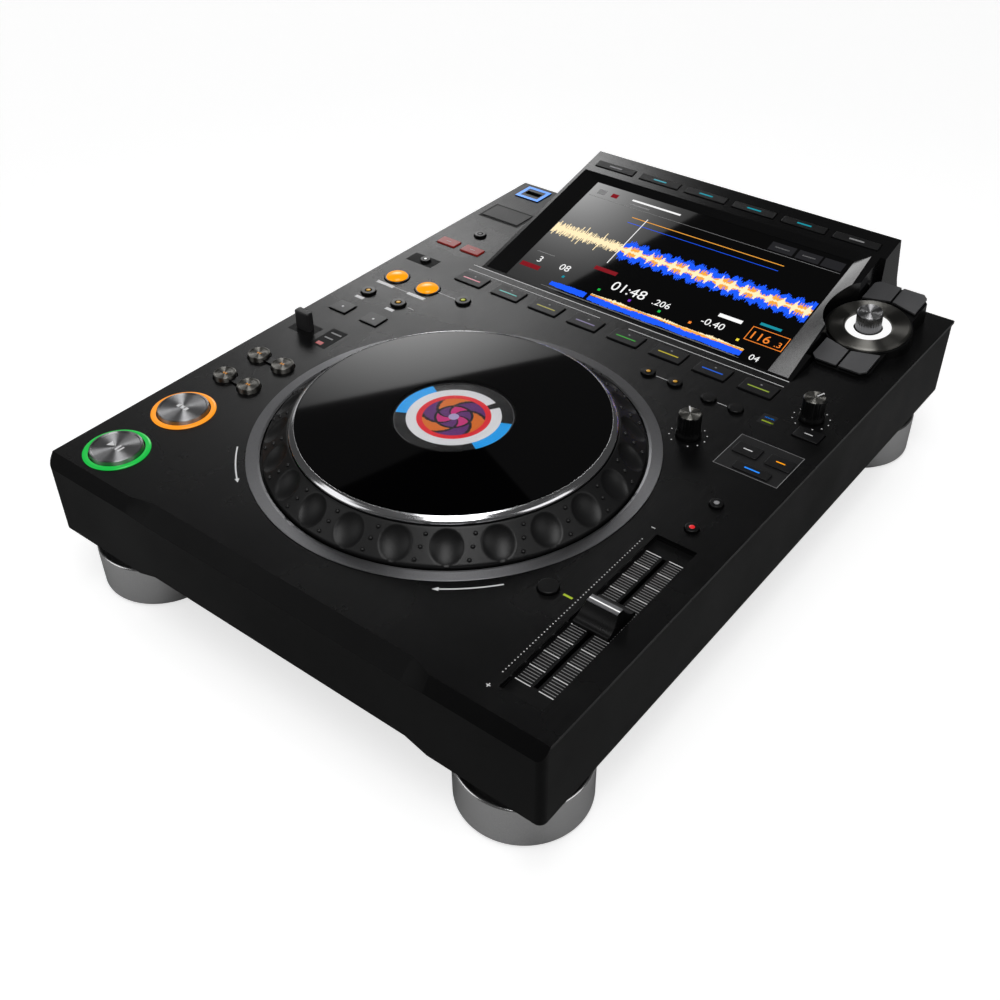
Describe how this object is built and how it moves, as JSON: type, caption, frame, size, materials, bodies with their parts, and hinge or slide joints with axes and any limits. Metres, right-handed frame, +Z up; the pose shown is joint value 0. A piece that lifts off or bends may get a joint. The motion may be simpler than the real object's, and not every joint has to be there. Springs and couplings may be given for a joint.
{
  "type": "tabletop dj player",
  "caption": "Tabletop DJ media player with a large jog wheel, tilted touch display, pitch fader, cue and play keys and round metal feet.",
  "frame": {"origin": "on the table, under the middle of the outline seen from above", "axes": "+X to the right of the person playing, +Y to the back under the display, +Z up"},
  "size_m": [0.329, 0.453, 0.118],
  "materials": {
    "case_black": "satin",
    "chassis_black": "satin",
    "brushed_black": "brushed",
    "spun_silver": "spun",
    "foot_rubber": "matte",
    "satin_grey": "satin",
    "jog_rubber": "matte",
    "bright_rim": "polished",
    "gloss_black": "polished",
    "bearing_steel": "satin",
    "screen_glow": "lit",
    "ring_light": "lit",
    "knob_black": "spun",
    "key_black": "satin",
    "amber_key": "lit",
    "red_key": "lit",
    "screen_glass": "polished",
    "socket_metal": "satin",
    "board_green": "satin"
  },
  "bodies": {
    "housing": {"bottom_case": "chassis_black", "case_screws": "bearing_steel", "deck_plate": "brushed_black", "display_glass": "screen_glass", "display_housing": "case_black", "display_panel": "screen_glow", "fader_panel": "case_black", "foot_caps": "spun_silver", "foot_cores": "foot_rubber", "glow_rings": "ring_light", "jog_bearing": "bearing_steel", "jog_pan": "chassis_black", "jog_ring": "satin_grey", "jog_screen": "screen_glow", "main_board": "board_green", "media_sockets": "socket_metal", "power_supply": "bearing_steel", "rear_terminals": "socket_metal", "selector_base": "case_black", "selector_disc": "gloss_black", "upper_case": "case_black"},
    "jog": {"jog_wheel": "jog_rubber", "jog_rim": "bright_rim", "jog_window": "gloss_black"},
    "play_key": {"play_key": "spun_silver"},
    "cue_key": {"cue_key": "spun_silver"},
    "beat_jump_keys": {"beat_jump_keys": "key_black"},
    "beat_loop_keys": {"beat_loop_keys": "key_black"},
    "reloop_key": {"reloop_key": "key_black"},
    "loop_keys": {"loop_keys": "amber_key"},
    "slip_key": {"slip_key": "key_black"},
    "mode_keys": {"mode_keys": "red_key"},
    "eject_key": {"eject_key": "key_black"},
    "call_keys": {"call_keys": "key_black"},
    "memory_keys": {"memory_keys": "key_black"},
    "jog_mode_key": {"jog_mode_key": "key_black"},
    "sync_keys": {"sync_keys": "key_black"},
    "tempo_keys": {"tempo_keys": "key_black"},
    "hot_cue_a": {"hot_cue_a": "key_black"},
    "hot_cue_b": {"hot_cue_b": "key_black"},
    "hot_cue_c": {"hot_cue_c": "key_black"},
    "hot_cue_d": {"hot_cue_d": "key_black"},
    "hot_cue_e": {"hot_cue_e": "key_black"},
    "hot_cue_f": {"hot_cue_f": "key_black"},
    "hot_cue_g": {"hot_cue_g": "key_black"},
    "hot_cue_h": {"hot_cue_h": "key_black"},
    "source_keys": {"source_keys": "key_black"},
    "list_keys": {"list_keys": "key_black"},
    "menu_keys": {"menu_keys": "key_black"},
    "browse_back_keys": {"browse_back_keys": "key_black"},
    "browse_front_keys": {"browse_front_keys": "key_black"},
    "power_button": {"power_button": "key_black"},
    "search_rocker": {"search_rocker": "knob_black"},
    "track_rocker": {"track_rocker": "knob_black"},
    "direction_lever": {"direction_lever": "key_black"},
    "jog_adjust_knob": {"jog_adjust_knob": "knob_black"},
    "speed_adjust_knob": {"speed_adjust_knob": "knob_black"},
    "tempo_fader": {"tempo_fader": "key_black"},
    "rotary_knob": {"rotary_knob": "knob_black"},
    "card_flap": {"card_flap": "case_black"}
  },
  "joints": [
    {"name": "jog_spin", "type": "hinge", "parent": "housing", "child": "jog", "pos_m": [0.0003, -0.084, 0.0845], "axis": [0, 0, 1], "continuous": true},
    {"name": "play_key_press", "type": "slide", "parent": "housing", "child": "play_key", "axis": [0, 0, -1], "range_m": [0, 0.0008], "stiffness_N_per_m": 500, "springref_m": -0.0005},
    {"name": "cue_key_press", "type": "slide", "parent": "housing", "child": "cue_key", "axis": [0, 0, -1], "range_m": [0, 0.0008], "stiffness_N_per_m": 500, "springref_m": -0.0005},
    {"name": "beat_jump_keys_press", "type": "slide", "parent": "housing", "child": "beat_jump_keys", "axis": [0, 0, -1], "range_m": [0, 0.0008], "stiffness_N_per_m": 500, "springref_m": -0.0005},
    {"name": "beat_loop_keys_press", "type": "slide", "parent": "housing", "child": "beat_loop_keys", "axis": [0, 0, -1], "range_m": [0, 0.0008], "stiffness_N_per_m": 500, "springref_m": -0.0005},
    {"name": "reloop_key_press", "type": "slide", "parent": "housing", "child": "reloop_key", "axis": [0, 0, -1], "range_m": [0, 0.0008], "stiffness_N_per_m": 500, "springref_m": -0.0005},
    {"name": "loop_keys_press", "type": "slide", "parent": "housing", "child": "loop_keys", "axis": [0, 0, -1], "range_m": [0, 0.0008], "stiffness_N_per_m": 500, "springref_m": -0.0005},
    {"name": "slip_key_press", "type": "slide", "parent": "housing", "child": "slip_key", "axis": [0, 0, -1], "range_m": [0, 0.0008], "stiffness_N_per_m": 500, "springref_m": -0.0005},
    {"name": "mode_keys_press", "type": "slide", "parent": "housing", "child": "mode_keys", "axis": [0, 0, -1], "range_m": [0, 0.0008], "stiffness_N_per_m": 500, "springref_m": -0.0005},
    {"name": "eject_key_press", "type": "slide", "parent": "housing", "child": "eject_key", "axis": [0, 0, -1], "range_m": [0, 0.0008], "stiffness_N_per_m": 500, "springref_m": -0.0005},
    {"name": "call_keys_press", "type": "slide", "parent": "housing", "child": "call_keys", "axis": [0, 0, -1], "range_m": [0, 0.0008], "stiffness_N_per_m": 500, "springref_m": -0.0005},
    {"name": "memory_keys_press", "type": "slide", "parent": "housing", "child": "memory_keys", "axis": [0, 0, -1], "range_m": [0, 0.0008], "stiffness_N_per_m": 500, "springref_m": -0.0005},
    {"name": "jog_mode_key_press", "type": "slide", "parent": "housing", "child": "jog_mode_key", "axis": [0, 0, -1], "range_m": [0, 0.0008], "stiffness_N_per_m": 500, "springref_m": -0.0005},
    {"name": "sync_keys_press", "type": "slide", "parent": "housing", "child": "sync_keys", "axis": [0, 0, -1], "range_m": [0, 0.0008], "stiffness_N_per_m": 500, "springref_m": -0.0005},
    {"name": "tempo_keys_press", "type": "slide", "parent": "housing", "child": "tempo_keys", "axis": [0, 0, -1], "range_m": [0, 0.0008], "stiffness_N_per_m": 500, "springref_m": -0.0005},
    {"name": "hot_cue_a_press", "type": "slide", "parent": "housing", "child": "hot_cue_a", "axis": [0, 0, -1], "range_m": [0, 0.0008], "stiffness_N_per_m": 500, "springref_m": -0.0005},
    {"name": "hot_cue_b_press", "type": "slide", "parent": "housing", "child": "hot_cue_b", "axis": [0, 0, -1], "range_m": [0, 0.0008], "stiffness_N_per_m": 500, "springref_m": -0.0005},
    {"name": "hot_cue_c_press", "type": "slide", "parent": "housing", "child": "hot_cue_c", "axis": [0, 0, -1], "range_m": [0, 0.0008], "stiffness_N_per_m": 500, "springref_m": -0.0005},
    {"name": "hot_cue_d_press", "type": "slide", "parent": "housing", "child": "hot_cue_d", "axis": [0, 0, -1], "range_m": [0, 0.0008], "stiffness_N_per_m": 500, "springref_m": -0.0005},
    {"name": "hot_cue_e_press", "type": "slide", "parent": "housing", "child": "hot_cue_e", "axis": [0, 0, -1], "range_m": [0, 0.0008], "stiffness_N_per_m": 500, "springref_m": -0.0005},
    {"name": "hot_cue_f_press", "type": "slide", "parent": "housing", "child": "hot_cue_f", "axis": [0, 0, -1], "range_m": [0, 0.0008], "stiffness_N_per_m": 500, "springref_m": -0.0005},
    {"name": "hot_cue_g_press", "type": "slide", "parent": "housing", "child": "hot_cue_g", "axis": [0, 0, -1], "range_m": [0, 0.0008], "stiffness_N_per_m": 500, "springref_m": -0.0005},
    {"name": "hot_cue_h_press", "type": "slide", "parent": "housing", "child": "hot_cue_h", "axis": [0, 0, -1], "range_m": [0, 0.0008], "stiffness_N_per_m": 500, "springref_m": -0.0005},
    {"name": "source_keys_press", "type": "slide", "parent": "housing", "child": "source_keys", "axis": [0, 0.24, -0.9708], "range_m": [0, 0.0008], "stiffness_N_per_m": 500, "springref_m": -0.0005},
    {"name": "list_keys_press", "type": "slide", "parent": "housing", "child": "list_keys", "axis": [0, 0.24, -0.9708], "range_m": [0, 0.0008], "stiffness_N_per_m": 500, "springref_m": -0.0005},
    {"name": "menu_keys_press", "type": "slide", "parent": "housing", "child": "menu_keys", "axis": [0, 0.24, -0.9708], "range_m": [0, 0.0008], "stiffness_N_per_m": 500, "springref_m": -0.0005},
    {"name": "browse_back_keys_press", "type": "slide", "parent": "housing", "child": "browse_back_keys", "axis": [0, 0.1392, -0.9903], "range_m": [0, 0.0008], "stiffness_N_per_m": 500, "springref_m": -0.0005},
    {"name": "browse_front_keys_press", "type": "slide", "parent": "housing", "child": "browse_front_keys", "axis": [0, 0.1392, -0.9903], "range_m": [0, 0.0008], "stiffness_N_per_m": 500, "springref_m": -0.0005},
    {"name": "power_button_press", "type": "slide", "parent": "housing", "child": "power_button", "axis": [0, -1, 0], "range_m": [0, 0.002], "stiffness_N_per_m": 500, "springref_m": -0.0005},
    {"name": "search_rocker_tilt", "type": "hinge", "parent": "housing", "child": "search_rocker", "pos_m": [-0.1356, -0.116, 0.08], "axis": [0, 1, 0], "range_deg": [-3, 3], "stiffness_Nm_per_rad": 0.05},
    {"name": "track_rocker_tilt", "type": "hinge", "parent": "housing", "child": "track_rocker", "pos_m": [-0.1356, -0.0892, 0.08], "axis": [0, 1, 0], "range_deg": [-3, 3], "stiffness_Nm_per_rad": 0.05},
    {"name": "direction_lever_tilt", "type": "hinge", "parent": "housing", "child": "direction_lever", "pos_m": [-0.1465, -0.05, 0.0755], "axis": [1, 0, 0], "range_deg": [-14, 14]},
    {"name": "jog_adjust_knob_turn", "type": "hinge", "parent": "housing", "child": "jog_adjust_knob", "pos_m": [0.097, -0.004, 0.0845], "axis": [0, 0, 1], "range_deg": [-150, 150]},
    {"name": "speed_adjust_knob_turn", "type": "hinge", "parent": "housing", "child": "speed_adjust_knob", "pos_m": [0.1426, 0.0496, 0.0845], "axis": [0, 0, 1], "range_deg": [-150, 150]},
    {"name": "tempo_fader_slide", "type": "slide", "parent": "housing", "child": "tempo_fader", "axis": [0, 1, 0], "range_m": [-0.049, 0.049]},
    {"name": "rotary_knob_turn", "type": "hinge", "parent": "housing", "child": "rotary_knob", "pos_m": [0.13, 0.1453, 0.0941], "axis": [0, -0.1392, 0.9903], "continuous": true},
    {"name": "card_flap_open", "type": "hinge", "parent": "housing", "child": "card_flap", "pos_m": [-0.142, 0.1534, 0.0841], "axis": [-1, 0, 0], "range_deg": [0, 95]}
  ]
}
